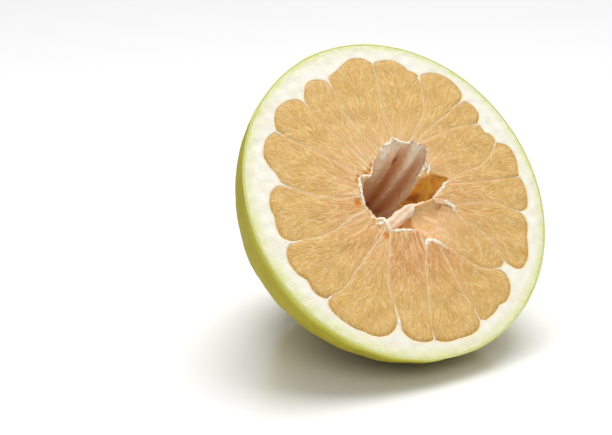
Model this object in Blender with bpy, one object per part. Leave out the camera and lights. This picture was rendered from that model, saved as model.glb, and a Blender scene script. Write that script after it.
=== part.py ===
# Half a pear-shaped pomelo, cut straight across, lying on the conical shoulder of its stem end.
# The cut face looks toward -Y and up, the core hollow opens in it, and +Z is up.
# Units are metres; angles are in degrees.

import math

import bmesh
import bpy
from mathutils import Matrix

# The fruit's outside: a round body, a long flat-arched shoulder and a round stem end, all tangent.
CUT_RADIUS = 0.080          # mean radius of the cut face
CUT_SLIP = 0.008            # the fruit's widest ring would lie this far in front of the cut
REST_ANGLE = 37.0           # slope of the shoulder's middle, and so the tilt of the cut face
SHOULDER_SPREAD = 12.0      # how far the slope changes along the shoulder
SHOULDER_RADIUS = 0.300     # arch of the shoulder, seen from the side
OVAL = 0.008                # how far the section departs from a circle, as a share of its radius
OVAL_TURN = 160.0           # direction of the section's longer axis, seen on the cut face

# The stem scar: a woody button in a shallow dimple at the stem end.
DIMPLE_RADIUS = 0.0095
DIMPLE_DEPTH = 0.0012
BUTTON_RADIUS = 0.0045
BUTTON_RISE = 0.0010

# The hollow core, which lies toward the upper right of the cut face.
HOLLOW_RADIUS = 0.0224      # at the cut face
HOLLOW_OFFSET = 0.0064
HOLLOW_TURN = 45.0
HOLLOW_DEPTH = 0.049
HOLLOW_NARROWING = 0.385    # how much radius it loses for each unit of depth
HOLLOW_BOTTOM = 0.008       # height of the round bottom
CUTTER_CLEARANCE = 0.010

# The spot that the fruit's own weight has pressed flat.
FLAT_DEPTH = 0.0012

# Facets.
TURN_STEPS = 72
HOLLOW_STEPS = 48
BODY_ROWS = 7
SHOULDER_ROWS = 5
NECK_ROWS = 7
HOLLOW_ROWS = 5
BOTTOM_ROWS = 4
MERGE_DISTANCE = 0.00001

RIND_COLOUR = (0.53, 0.44, 0.16, 1.0)


def clear_scene():
    for item in list(bpy.data.objects):
        bpy.data.objects.remove(item, do_unlink=True)


def arc_on(points, radius, first, last, rows):
    """Carries a profile of (radius, depth) points on along an arc; angles are those of its normals."""
    start_radius, start_depth = points[-1]
    first = math.radians(first)
    for row in range(1, rows + 1):
        angle = first + (math.radians(last) - first) * row / rows
        across = start_radius + radius * (math.cos(angle) - math.cos(first))
        depth = start_depth + radius * (math.sin(angle) - math.sin(first))
        points.append((across, depth))


def outside_profile():
    """The outside from the cut edge to the middle of the stem button."""
    ball_radius = math.hypot(CUT_RADIUS, CUT_SLIP)
    cut_angle = math.degrees(math.asin(CUT_SLIP / ball_radius))
    shoulder_start = REST_ANGLE - SHOULDER_SPREAD / 2
    shoulder_end = REST_ANGLE + SHOULDER_SPREAD / 2
    points = [(CUT_RADIUS, 0.0)]
    arc_on(points, ball_radius, cut_angle, shoulder_start, BODY_ROWS)
    arc_on(points, SHOULDER_RADIUS, shoulder_start, shoulder_end, SHOULDER_ROWS)
    neck_radius = points[-1][0] / math.cos(math.radians(shoulder_end))
    dimple_angle = math.degrees(math.acos(DIMPLE_RADIUS / neck_radius))
    arc_on(points, neck_radius, shoulder_end, dimple_angle, NECK_ROWS)
    floor = points[-1][1] - DIMPLE_DEPTH
    points.append(((DIMPLE_RADIUS + BUTTON_RADIUS) / 2, floor))
    points.append((BUTTON_RADIUS, floor))
    points.append((BUTTON_RADIUS * 0.8, floor + BUTTON_RISE))
    points.append((0.0, floor + BUTTON_RISE))
    return points


def hollow_profile():
    """The hollow from above the cut face down to the middle of its round bottom."""
    wall_depth = HOLLOW_DEPTH - HOLLOW_BOTTOM
    points = [(0.0, -CUTTER_CLEARANCE), (HOLLOW_RADIUS, -CUTTER_CLEARANCE)]
    for row in range(HOLLOW_ROWS + 1):
        depth = wall_depth * row / HOLLOW_ROWS
        points.append((HOLLOW_RADIUS - HOLLOW_NARROWING * depth, depth))
    bottom_radius = points[-1][0]
    for row in range(1, BOTTOM_ROWS + 1):
        angle = math.pi / 2 * row / BOTTOM_ROWS
        points.append((bottom_radius * math.cos(angle), wall_depth + HOLLOW_BOTTOM * math.sin(angle)))
    return points


def turned(name, profile, steps, close_top):
    """Spins a profile of (radius, depth) points about Z, with depth running down."""
    mesh = bmesh.new()
    ring = [mesh.verts.new((radius, 0.0, -depth)) for radius, depth in profile]
    edges = [mesh.edges.new(pair) for pair in zip(ring, ring[1:])]
    bmesh.ops.spin(
        mesh, geom=ring + edges, cent=(0, 0, 0), axis=(0, 0, 1),
        angle=math.tau, steps=steps, use_merge=True,
    )
    bmesh.ops.remove_doubles(mesh, verts=mesh.verts, dist=MERGE_DISTANCE)
    if close_top:
        bmesh.ops.contextual_create(mesh, geom=[edge for edge in mesh.edges if edge.is_boundary])
    bmesh.ops.recalc_face_normals(mesh, faces=mesh.faces)
    return finished(name, mesh)


def finished(name, mesh):
    data = bpy.data.meshes.new(name)
    mesh.to_mesh(data)
    mesh.free()
    item = bpy.data.objects.new(name, data)
    bpy.context.scene.collection.objects.link(item)
    return item


def make_oval(item):
    """Stretches each section a little along one direction and narrows it across."""
    for vertex in item.data.vertices:
        angle = math.atan2(vertex.co.y, vertex.co.x)
        swell = 1 + OVAL * math.cos(2 * (angle - math.radians(OVAL_TURN)))
        vertex.co.x *= swell
        vertex.co.y *= swell


def cut_hollow(body):
    cutter = turned("hollow_cutter", hollow_profile(), HOLLOW_STEPS, close_top=False)
    turn = math.radians(HOLLOW_TURN)
    offset = (HOLLOW_OFFSET * math.cos(turn), HOLLOW_OFFSET * math.sin(turn), 0)
    cutter.data.transform(Matrix.Translation(offset))
    cutter.hide_render = True
    cutter.display_type = "WIRE"
    boolean = body.modifiers.new("core_hollow", "BOOLEAN")
    boolean.operation = "DIFFERENCE"
    boolean.solver = "EXACT"
    boolean.object = cutter
    bpy.context.view_layer.update()
    solid = bpy.data.meshes.new_from_object(body.evaluated_get(bpy.context.evaluated_depsgraph_get()))
    body.modifiers.clear()
    body.data = solid
    bpy.data.objects.remove(cutter, do_unlink=True)


def lay_down(body):
    """Tips the cut face up, presses the underside flat, and centres the part over the origin."""
    body.data.transform(Matrix.Rotation(math.radians(90 - REST_ANGLE), 4, "X"))
    floor = min(vertex.co.z for vertex in body.data.vertices) + FLAT_DEPTH
    mesh = bmesh.new()
    mesh.from_mesh(body.data)
    bmesh.ops.bisect_plane(
        mesh, geom=mesh.verts[:] + mesh.edges[:] + mesh.faces[:], dist=MERGE_DISTANCE,
        plane_co=(0, 0, floor), plane_no=(0, 0, -1), clear_outer=True,
    )
    bmesh.ops.contextual_create(mesh, geom=[edge for edge in mesh.edges if edge.is_boundary])
    bmesh.ops.recalc_face_normals(mesh, faces=mesh.faces)
    mesh.to_mesh(body.data)
    mesh.free()
    xs = [vertex.co.x for vertex in body.data.vertices]
    ys = [vertex.co.y for vertex in body.data.vertices]
    centre = ((min(xs) + max(xs)) / 2, (min(ys) + max(ys)) / 2)
    body.data.transform(Matrix.Translation((-centre[0], -centre[1], -floor)))


def rind_material():
    material = bpy.data.materials.new("rind")
    material.use_nodes = True
    shader = material.node_tree.nodes["Principled BSDF"]
    shader.inputs["Base Color"].default_value = RIND_COLOUR
    shader.inputs["Roughness"].default_value = 0.5
    shader.inputs["Metallic"].default_value = 0.0
    return material


def build_half():
    body = turned("pomelo_half", outside_profile(), TURN_STEPS, close_top=True)
    make_oval(body)
    cut_hollow(body)
    lay_down(body)
    body.data.materials.clear()
    body.data.materials.append(rind_material())
    body.data.shade_smooth()
    body.data.set_sharp_from_angle(angle=math.radians(40))


clear_scene()
build_half()
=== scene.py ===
import math

import bmesh
import bpy
import numpy as np
from mathutils import Matrix, Vector, kdtree


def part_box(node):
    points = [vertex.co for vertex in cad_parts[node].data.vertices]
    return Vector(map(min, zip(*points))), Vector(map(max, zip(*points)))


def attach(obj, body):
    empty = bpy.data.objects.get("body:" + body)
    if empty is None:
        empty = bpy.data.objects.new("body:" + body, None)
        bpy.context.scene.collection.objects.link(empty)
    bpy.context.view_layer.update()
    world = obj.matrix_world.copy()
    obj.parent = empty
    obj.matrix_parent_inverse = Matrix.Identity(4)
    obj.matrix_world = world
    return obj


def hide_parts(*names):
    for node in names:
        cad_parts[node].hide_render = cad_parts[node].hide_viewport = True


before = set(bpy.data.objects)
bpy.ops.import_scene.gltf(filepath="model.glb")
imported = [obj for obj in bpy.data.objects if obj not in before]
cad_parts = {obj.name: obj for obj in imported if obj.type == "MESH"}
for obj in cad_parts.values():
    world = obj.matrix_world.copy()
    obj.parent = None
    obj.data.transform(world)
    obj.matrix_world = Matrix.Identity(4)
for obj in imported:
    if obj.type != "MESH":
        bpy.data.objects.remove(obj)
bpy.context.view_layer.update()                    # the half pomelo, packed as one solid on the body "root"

# Everything is modelled in millimetres on the cut face: x to the right, y up the slope and z out of
# the fruit, with the middle of the face at the origin. placed() then lays it on the frame.
# Reaches are shares of the cut face's radius, and directions are degrees round the face.

fruit = {
    "restAngle": 37,                 # the cut face looks this far above level
    "widestRing": 0.1,               # lies this far in front of the cut
    "shoulderSpread": 12,            # how far the slope changes along the shoulder
    "shoulderArch": 3.75,            # radius of the shoulder's long curve
    "oval": 0.008,                   # how much wider than round it is along ovalTurn
    "ovalTurn": 160,
    "peel": 0.95,                    # the coloured skin, in millimetres
    "floorGap": 0.00001,             # height of the flat spot that it lies on, in metres
}


def sectionSwell(direction):
    # the fruit is a little wider along ovalTurn than across it
    return 1 + fruit["oval"] * np.cos(2 * np.radians(direction - fruit["ovalTurn"]))


low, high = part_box("pomelo_half")
cutRadius = (high.x - low.x) / 2 / float(sectionSwell(0))
reachMm = cutRadius * 1000
faceDown = cutRadius * float(sectionSwell(270))
lean = math.radians(fruit["restAngle"])
faceMiddle = Vector((
    (low.x + high.x) / 2,
    low.y + math.sin(lean) * faceDown,
    high.z - math.cos(lean) * faceDown,
))
tip = Matrix.Rotation(math.pi / 2 - lean, 4, "X")
toFrame = Matrix.Translation(faceMiddle) @ tip @ Matrix.Scale(0.001, 4)


def smoothStep(low, high, value):
    t = np.clip((value - low) / (high - low), 0, 1)
    return t * t * (3 - 2 * t)


def band(start, full, last, end, value):
    # rises to 1 from start to full, and falls again from last to end
    return smoothStep(start, full, value) * (1 - smoothStep(last, end, value))


def eased(share):
    return (1 - np.cos(math.pi * share)) / 2


def smoothRun(value, run):
    # a curve without corners through (stop, level) pairs, flat beyond the ends
    stops, levels = np.array(run, float).T
    value = np.clip(value, stops[0], stops[-1])
    slopes = np.gradient(levels, stops)
    place = np.clip(np.searchsorted(stops, value, side="right") - 1, 0, len(stops) - 2)
    span = stops[place + 1] - stops[place]
    t = (value - stops[place]) / span
    cubic = (2 * t**3 - 3 * t**2 + 1) * levels[place] + (t**3 - 2 * t**2 + t) * slopes[place] * span
    return cubic + (3 * t**2 - 2 * t**3) * levels[place + 1] + (t**3 - t**2) * slopes[place + 1] * span


def ripple(points, wavelength, seed, waves=14):
    # soft bumps of one size, from -1 to 1 or so, that are the same every time
    draw = np.random.default_rng(seed)
    heading = draw.normal(size=(waves, points.shape[1]))
    heading /= np.linalg.norm(heading, axis=1)[:, None]
    count = draw.uniform(0.7, 1.4, waves) / wavelength
    phase = draw.uniform(0, math.tau, waves)
    total = np.zeros(len(points))
    for k in range(waves):
        total += np.sin(math.tau * count[k] * (points @ heading[k]) + phase[k])
    return total / math.sqrt(waves)


def uneven(points, *rows):
    # bumps of one or more sizes together, each as (depth, size, seed)
    return sum(depth * ripple(points, size, seed) for depth, size, seed in rows)


def stirred(points, shift, size, seed):
    # how far each point is pushed to either side, to break up straight lines
    return shift * np.column_stack([ripple(points, size, seed), ripple(points, size, seed + 1)])


def polar(direction, reach):
    # a place on the cut face, in millimetres
    turn = np.radians(direction)
    span = reach * reachMm * sectionSwell(direction)
    return span * np.cos(turn), span * np.sin(turn)


def roundOf(x, y):
    # how far a point is from the middle, and its direction
    return np.hypot(x, y), np.degrees(np.arctan2(y, x))


def wrapAngle(angle):
    return np.mod(angle + 180, 360) - 180


def coordsOf(mesh):
    flat = np.empty(len(mesh.vertices) * 3)
    mesh.vertices.foreach_get("co", flat)
    return flat.reshape(-1, 3)


def setCoords(mesh, coords):
    mesh.vertices.foreach_set("co", coords.ravel())
    mesh.update()


def giveValues(piece, **fields):
    # what the piece's material reads, with one number for each point
    for name, values in fields.items():
        field = piece.data.attributes.new(name, "FLOAT", "POINT")
        field.data.foreach_set("value", np.asarray(values, np.float32))


def pieceFrom(name, shape):
    mesh = bpy.data.meshes.new(name)
    shape.to_mesh(mesh)
    shape.free()
    piece = bpy.data.objects.new(name, mesh)
    bpy.context.scene.collection.objects.link(piece)
    return piece


def placed(piece, material):
    piece.data.transform(toFrame)
    coords = coordsOf(piece.data)
    coords[:, 2] = np.maximum(coords[:, 2], fruit["floorGap"])     # pressed flat where the fruit lies
    setCoords(piece.data, coords)
    piece.data.materials.append(material)
    piece.data.shade_smooth()
    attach(piece, "root")
    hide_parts("pomelo_half")


# Small helpers for the shaders

def tint(red, green, blue):
    # a screen colour, 0 to 255, as the shader's linear colour
    levels = [level / 255 for level in (red, green, blue)]
    return [v / 12.92 if v < 0.04045 else ((v + 0.055) / 1.055) ** 2.4 for v in levels] + [1]


def node(tree, kind, **settings):
    made = tree.nodes.new(kind)
    for key, value in settings.items():
        setattr(made, key, value)
    return made


def plug(tree, source, socket):
    # another node's output is linked, and a number or a colour is set on the socket itself
    if isinstance(source, bpy.types.NodeSocket):
        tree.links.new(source, socket)
    else:
        socket.default_value = source


def fieldNode(tree, name):
    return node(tree, "ShaderNodeAttribute", attribute_name=name).outputs["Fac"]


def fieldPlace(tree, across, along):
    # two of a piece's own values as a place for a pattern
    made = node(tree, "ShaderNodeCombineXYZ")
    plug(tree, across, made.inputs["X"])
    plug(tree, along, made.inputs["Y"])
    return made.outputs["Vector"]


def objectPlace(tree):
    return node(tree, "ShaderNodeTexCoord").outputs["Object"]


def spread(tree, value, fromLow, fromHigh, toLow=0.0, toHigh=1.0):
    made = node(tree, "ShaderNodeMapRange", interpolation_type="SMOOTHSTEP")
    plug(tree, value, made.inputs["Value"])
    plug(tree, fromLow, made.inputs["From Min"])
    plug(tree, fromHigh, made.inputs["From Max"])
    plug(tree, toLow, made.inputs["To Min"])
    plug(tree, toHigh, made.inputs["To Max"])
    return made.outputs["Result"]


def noiseNode(tree, size, detail=3, rough=0.55, place=None):
    # size is the width of a blotch, in metres
    made = node(tree, "ShaderNodeTexNoise")
    plug(tree, 1 / size, made.inputs["Scale"])
    plug(tree, detail, made.inputs["Detail"])
    plug(tree, rough, made.inputs["Roughness"])
    plug(tree, place or objectPlace(tree), made.inputs["Vector"])
    return made.outputs["Fac"]


def blotches(tree, size, low, high, *noise):
    # what lies between low and high in the noise is spread from 0 to 1
    return spread(tree, noiseNode(tree, size, *noise), low, high)


def times(tree, first, second, operation="MULTIPLY"):
    made = node(tree, "ShaderNodeMath", operation=operation)
    plug(tree, first, made.inputs[0])
    plug(tree, second, made.inputs[1])
    return made.outputs[0]


def blendColour(tree, share, first, second):
    made = node(tree, "ShaderNodeMix", data_type="RGBA")
    plug(tree, share, made.inputs["Factor"])
    for colour, socket in zip((first, second), [s for s in made.inputs if s.type == "RGBA"]):
        plug(tree, colour, socket)
    return [s for s in made.outputs if s.type == "RGBA"][0]


def newMaterial(name, look, ownPatterns=None):
    # The noises are (width, low, high, detail, roughness). The colour is one tint over another, each
    # as strong as its mask: a pattern or one of the piece's values. Bumps are (pattern, depth in
    # metres, strength), and the finish is the same all over.
    material = bpy.data.materials.new(name)
    material.use_nodes = True
    tree = material.node_tree
    shader = tree.nodes["Principled BSDF"]
    patterns = {key: blotches(tree, *row) for key, row in look["noises"].items()}
    if ownPatterns:
        patterns.update(ownPatterns(tree, patterns))
    colour = tint(*look["under"])
    for mask, share, levels in look["layers"]:
        source = patterns[mask] if mask in patterns else fieldNode(tree, mask)
        over = patterns[levels] if levels in patterns else tint(*levels)
        colour = blendColour(tree, times(tree, source, share), colour, over)
    plug(tree, colour, shader.inputs["Base Color"])
    for pattern, depth, strength in look["bumps"]:
        bump = node(tree, "ShaderNodeBump")
        plug(tree, patterns[pattern], bump.inputs["Height"])
        plug(tree, depth, bump.inputs["Distance"])
        plug(tree, strength, bump.inputs["Strength"])
        if shader.inputs["Normal"].is_linked:
            plug(tree, shader.inputs["Normal"].links[0].from_socket, bump.inputs["Normal"])
        plug(tree, bump.outputs["Normal"], shader.inputs["Normal"])
    for socket, level in look["finish"].items():
        plug(tree, level, shader.inputs[socket])
    return material


# The walls between the segments, each from the pith in to the core as (reach, direction).
# A wall is named after the segment that follows it, going anticlockwise.
walls = {
    "A": ((0.87, -1.9), (0.65, -1), (0.46, 1), (0.34, 4)),
    "B": ((0.83, 14.9), (0.77, 12.4), (0.67, 9), (0.50, 8), (0.34, 6)),
    "C": ((0.795, 26.2), (0.68, 32), (0.52, 40), (0.44, 46), (0.38, 50)),
    "D": ((0.842, 37.8), (0.75, 39.5), (0.62, 43), (0.46, 49), (0.38, 52)),
    "E": ((0.83, 59.3), (0.79, 57.6), (0.75, 56.6), (0.66, 54), (0.48, 55), (0.39, 58)),
    "F": ((0.862, 80.9), (0.75, 80.5), (0.60, 81), (0.46, 79), (0.38, 76)),
    "G": ((0.80, 104.9), (0.70, 105.5), (0.58, 107), (0.42, 104), (0.30, 100)),
    "H": ((0.79, 121.3), (0.68, 123), (0.45, 122), (0.25, 122)),
    "I": ((0.836, 141.1), (0.60, 141), (0.38, 139.6), (0.28, 140)),
    "J": ((0.755, 163.8), (0.66, 166), (0.52, 169), (0.38, 170), (0.27, 169)),
    "K": ((0.795, 189.1), (0.72, 190), (0.58, 192.3), (0.42, 191), (0.25, 186)),
    "L": ((0.836, 215.6), (0.72, 218.5), (0.55, 219), (0.40, 221.4), (0.22, 224)),
    "M": ((0.78, 247.4), (0.75, 246.9), (0.70, 245.5), (0.60, 241.5), (0.50, 238.5), (0.38, 237),
          (0.25, 233)),
    "N": ((0.876, 262.7), (0.76, 263.5), (0.58, 266.4), (0.44, 270.5), (0.35, 277), (0.23, 281)),
    "P": ((0.855, 286.2), (0.70, 286), (0.50, 289), (0.38, 292)),
    "Q": ((0.745, 311.7), (0.65, 306), (0.56, 303.5), (0.46, 301), (0.37, 297.5)),
    "R": ((0.76, 316.5), (0.72, 318.5), (0.62, 323.5), (0.52, 328), (0.40, 331.5), (0.35, 337)),
    "S": ((0.81, 342.9), (0.74, 344.5), (0.62, 346.8), (0.50, 345.5), (0.36, 341.6)),
}

# Each segment's outer edge from its first wall to the next, as (direction, reach)
bulges = {
    "A": ((-1.5, 0.879), (0, 0.885), (3, 0.90), (6, 0.909), (9, 0.909), (11.5, 0.895), (13, 0.872),
          (14, 0.85), (14.6, 0.832)),
    "B": ((15.3, 0.832), (16.5, 0.84), (18, 0.836), (19.5, 0.825), (20.5, 0.811), (21.3, 0.803),
          (22.3, 0.806), (24, 0.809), (25.2, 0.805), (26, 0.797)),
    "C": ((26.5, 0.812), (27.2, 0.841), (28, 0.856), (29.5, 0.869), (31, 0.876), (32.5, 0.879),
          (34, 0.876), (35.5, 0.868), (36.7, 0.855), (37.5, 0.842)),
    "D": ((38, 0.852), (38.8, 0.882), (40, 0.90), (41.5, 0.912), (43, 0.92), (45, 0.927), (47.5, 0.93),
          (50, 0.926), (52.5, 0.917), (54.5, 0.904), (56, 0.89), (57.3, 0.873), (58.3, 0.856), (59, 0.834)),
    "E": ((59.6, 0.836), (60.5, 0.848), (62, 0.854), (63.5, 0.857), (64.7, 0.857), (66.5, 0.874),
          (68, 0.886), (70, 0.896), (72, 0.90), (74, 0.897), (76, 0.891), (78, 0.883), (79.5, 0.876),
          (80.6, 0.864)),
    "F": ((81.2, 0.864), (82, 0.875), (83.8, 0.89), (85.7, 0.902), (88, 0.907), (90, 0.905),
          (92, 0.897), (93.8, 0.885), (96, 0.867), (98, 0.855), (100.3, 0.846), (102.2, 0.838),
          (103.5, 0.829), (104.5, 0.809)),
    "G": ((105.3, 0.80), (106.3, 0.82), (107.6, 0.838), (109.2, 0.852), (111, 0.862), (113, 0.867),
          (115, 0.861), (116.8, 0.846), (118.4, 0.829), (119.9, 0.811), (120.9, 0.794)),
    "H": ((121.7, 0.795), (122.4, 0.826), (123.4, 0.843), (124.5, 0.853), (126, 0.869), (128, 0.882),
          (130.3, 0.89), (132.2, 0.894), (134.5, 0.89), (136.8, 0.877), (138.4, 0.864), (139.5, 0.852),
          (140.8, 0.838)),
    "I": ((141.4, 0.838), (142, 0.848), (143, 0.859), (144.5, 0.873), (146.5, 0.882), (148.8, 0.885),
          (151, 0.883), (153.4, 0.873), (155, 0.857), (156.5, 0.838), (157.6, 0.816), (158.8, 0.798),
          (160.3, 0.78), (162, 0.767), (163.3, 0.757)),
    "J": ((164.3, 0.762), (164.8, 0.788), (165.4, 0.803), (166.5, 0.819), (168, 0.835), (170, 0.846),
          (172, 0.852), (174, 0.853), (175.8, 0.85), (177.3, 0.843), (178.8, 0.845), (181, 0.851),
          (183, 0.852), (185, 0.848), (186.5, 0.836), (187.7, 0.817), (188.7, 0.797)),
    "K": ((189.4, 0.80), (190, 0.832), (190.8, 0.849), (192.3, 0.869), (194.2, 0.88), (196.5, 0.885),
          (199, 0.883), (201, 0.877), (203, 0.866), (204.8, 0.859), (206.2, 0.864), (207.7, 0.871),
          (209.6, 0.874), (211.5, 0.873), (213, 0.865), (214.6, 0.852), (215.3, 0.838)),
    "L": ((215.8, 0.84), (216.2, 0.862), (217.3, 0.879), (218.8, 0.891), (221, 0.90), (223, 0.904),
          (226, 0.908), (228.5, 0.909), (230.8, 0.907), (232.3, 0.903), (234.6, 0.905), (237.3, 0.904),
          (239.2, 0.90), (240.8, 0.891), (242.3, 0.879), (243.8, 0.861), (245, 0.843), (245.9, 0.82),
          (246.5, 0.792)),
    "M": ((248.2, 0.78), (248.7, 0.81), (249.3, 0.832), (250.4, 0.85), (251.7, 0.865), (253.2, 0.877),
          (255.3, 0.885), (257.5, 0.889), (260, 0.889), (261.6, 0.885), (262.4, 0.878)),
    "N": ((263, 0.878), (264.4, 0.891), (266.2, 0.898), (268.5, 0.903), (271.2, 0.905), (273.5, 0.903),
          (275.3, 0.907), (277.5, 0.909), (279.4, 0.91), (281.2, 0.908), (283, 0.90), (284.4, 0.888),
          (285.3, 0.873), (285.9, 0.857)),
    "P": ((286.5, 0.859), (287.7, 0.874), (289.4, 0.88), (291.6, 0.882), (294, 0.879), (296.2, 0.873),
          (297.8, 0.869), (299.4, 0.877), (301, 0.884), (302.8, 0.886), (304.8, 0.88), (306.6, 0.869),
          (308.5, 0.852), (309.8, 0.835), (310.7, 0.816), (311.2, 0.797), (311.5, 0.77)),
    "Q": ((311.9, 0.742), (313, 0.748), (314.5, 0.75), (316.1, 0.753)),
    "R": ((315.9, 0.775), (316.3, 0.82), (316.8, 0.846), (317.5, 0.864), (318.9, 0.882), (320.3, 0.889),
          (322.5, 0.895), (325, 0.895), (327, 0.889), (329.4, 0.88), (331.2, 0.874), (333, 0.871),
          (335.3, 0.873), (337.5, 0.872), (339.4, 0.864), (341, 0.849), (342, 0.83), (342.6, 0.812)),
    "S": ((343.2, 0.832), (343.6, 0.853), (344.4, 0.873), (345.7, 0.885), (347.5, 0.892), (350.3, 0.896),
          (353, 0.897), (355.3, 0.893), (357, 0.885), (357.9, 0.877)),
}
order = list(walls)

# The edge of the hollow core, as (direction, reach)
coreEdge = (
    (1.2, 0.294), (6.6, 0.358), (9, 0.362), (13.5, 0.333), (22, 0.287), (26.3, 0.284), (31, 0.30),
    (36, 0.326), (39.2, 0.375), (42.6, 0.40), (50, 0.388), (56.3, 0.385), (61, 0.362), (65, 0.357),
    (71.9, 0.366), (76.3, 0.376), (79.5, 0.345), (84.8, 0.331), (90, 0.315), (96, 0.296), (104, 0.272),
    (116.6, 0.241), (126, 0.222), (131.6, 0.220), (137, 0.246), (142.9, 0.274), (154.6, 0.264),
    (168, 0.259), (179, 0.255), (186, 0.235), (193.3, 0.235), (199, 0.252), (203, 0.233),
    (207.3, 0.21), (214.6, 0.202), (226, 0.217), (234.3, 0.232), (241, 0.209), (251, 0.203),
    (265, 0.205), (276.4, 0.215), (281, 0.23), (286, 0.262), (292, 0.30), (310, 0.30), (328, 0.27),
    (340, 0.235), (345.6, 0.219), (350, 0.238), (356.2, 0.268), (361.2, 0.294),
)


def coreReach(direction):
    return smoothRun(np.mod(np.asarray(direction) - 1.2, 360) + 1.2, coreEdge)


def outerReach(name, direction):
    return smoothRun(direction, bulges[name])


def nextWall(name):
    # the wall that closes a segment, with what makes its directions follow on from the first wall's
    follower = order[(order.index(name) + 1) % len(order)]
    return follower, 360 if follower == "A" else 0


print("layout ready: %d segments" % len(order))

# The rind: the coloured skin as a closed shell with a rounded cut edge and the stem scar
rind = {
    "steps": 480,
    "outerRows": (54, 48, 34),       # along the body, the shoulder and the neck
    "innerRows": (8, 8, 8),
    "edgeRound": 0.35,
    "lumps": ((0.28, 24, 3), (0.07, 5, 4)),      # as (depth, size, seed), like all such rows below
    "dimpleReach": 9.5,              # round the stem button
    "dimpleDepth": 1.2,
    "furrows": 7,                    # creases that run into the dimple
    "furrowDepth": 0.35,
    "furrowZone": (2, 6, 6, 17),     # they deepen and fade again between these distances from it
    "cutBand": (-0.5, -0.1),         # heights between which the skin turns into its cut edge
    "paleBand": (-7, -0.5),          # and turns paler on the way there, on the lower side mostly as painted light
    "litLowerSide": (-0.5, 0.3),        # where the painted light on the fruit's lower side ends, as shares of the radius
    "paleAbove": 0.15,               # how much of the paleness is left above that
    "poreSize": 0.0017,              # in metres
    "dot": (0.28, 0.05),             # the coloured middle of a pore
    "pit": (0.05, 0.38),
    "waveSize": 0.004,
    "noises": {"blotch": (0.030, 0.35, 0.65), "fleck": (0.0036, 0.3, 0.8, 4, 0.6)},
    "under": (180, 167, 50),
    "layers": (
        ("blotch", 1, (190, 177, 63)),
        ("fleck", 0.5, (172, 160, 50)),
        ("dot", 0.45, (154, 142, 40)),
        # paler skin toward the cut edge, with painted light on the lower side
        ("nearCut", 0.8, (222, 221, 100)),
        ("cutSkin", 1, (208, 210, 132)),
    ),
    "bumps": (("pit", 0.00022, 0.7), ("wave", 0.0004, 0.35)),
    "finish": {
        "Roughness": 0.6, "IOR": 1.3, "Specular IOR Level": 0.15,
        "Subsurface Weight": 0.05, "Subsurface Radius": (0.8, 0.9, 0.2), "Subsurface Scale": 0.002,
    },
}


def outsideRows(bodyRows, shoulderRows, neckRows):
    # (radius, depth, slope) from the cut edge to the stem end: three arcs that run into each other
    ball = math.hypot(1, fruit["widestRing"])
    cutSlope = math.asin(fruit["widestRing"] / ball)
    half = math.radians(fruit["shoulderSpread"] / 2)
    rows = [(1.0, 0.0, cutSlope)]
    for radius, end, count in (
        (ball, lean - half, bodyRows),
        (fruit["shoulderArch"], lean + half, shoulderRows),
        (None, math.pi / 2, neckRows),
    ):
        across, depth, start = rows[-1]
        radius = radius or across / math.cos(start)
        for k in range(1, count + 1):
            slope = start + (end - start) * k / count
            rows.append((
                max(across + radius * (math.cos(slope) - math.cos(start)), 0),
                depth + radius * (math.sin(slope) - math.sin(start)),
                slope,
            ))
    return [(across * reachMm, depth * reachMm, slope) for across, depth, slope in rows]


def insideOf(rows, wall):
    return [(max(r - wall * math.cos(s), 0), d - wall * math.sin(s), s) for r, d, s in rows]


def turned(name, profile, steps):
    # spins (radius, height) points about z into a closed body
    shape = bmesh.new()
    line = [shape.verts.new((radius, 0, height)) for radius, height in profile]
    edges = [shape.edges.new(pair) for pair in zip(line, line[1:])]
    bmesh.ops.spin(
        shape, geom=line + edges, cent=(0, 0, 0), axis=(0, 0, 1),
        angle=math.tau, steps=steps, use_merge=True,
    )
    bmesh.ops.remove_doubles(shape, verts=shape.verts, dist=0.0005)
    bmesh.ops.recalc_face_normals(shape, faces=shape.faces)
    piece = pieceFrom(name, shape)
    coords = coordsOf(piece.data)
    return piece, coords, *roundOf(coords[:, 0], coords[:, 1])


def ovalled(coords):
    coords[:, :2] *= sectionSwell(roundOf(coords[:, 0], coords[:, 1])[1])[:, None]
    return coords


def stemDip(radius, direction):
    # how far the skin sinks toward the stem, with soft creases round it
    turn = np.radians(direction)
    dip = rind["dimpleDepth"] * (1 - smoothStep(0, 1, radius / rind["dimpleReach"]))
    fade = band(*rind["furrowZone"], radius)
    crease = np.abs(np.cos(turn * rind["furrows"] / 2 + 0.7 * np.sin(turn + 1))) ** 3
    return dip + rind["furrowDepth"] * fade * crease


def buildRind():
    outer = outsideRows(*rind["outerRows"])
    inner = insideOf(outsideRows(*rind["innerRows"]), fruit["peel"])
    turn = rind["edgeRound"]
    edge = [
        (reachMm - 0.02 * turn, -turn), (reachMm - 0.3 * turn, -0.3 * turn),
        (reachMm - turn, 0), (reachMm - fruit["peel"], 0),
    ]
    profile = [(r, -d) for r, d, s in reversed(outer) if d > turn * 1.2]
    profile += edge + [(r, -d) for r, d, s in inner if d > 0.5]
    profile[-1] = (0, profile[-1][1])
    piece, coords, radius, direction = turned("rind", profile, rind["steps"])
    cutSkin = smoothStep(*rind["cutBand"], coords[:, 2])
    away = coords / np.maximum(np.linalg.norm(coords, axis=1), 1)[:, None]
    coords += away * (uneven(coords, *rind["lumps"]) * (1 - cutSkin))[:, None]
    coords[:, 2] += np.where(coords[:, 2] < -reachMm, stemDip(radius, direction), 0)
    coords = ovalled(coords)
    setCoords(piece.data, coords)
    # the paleness near the cut is strongest on the lower side, where it is painted light
    lower = 1 - smoothStep(*rind["litLowerSide"], coords[:, 1] / reachMm)
    paler = rind["paleAbove"] + (1 - rind["paleAbove"]) * lower
    giveValues(piece, cutSkin=cutSkin, nearCut=smoothStep(*rind["paleBand"], coords[:, 2]) * paler)
    return piece


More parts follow.
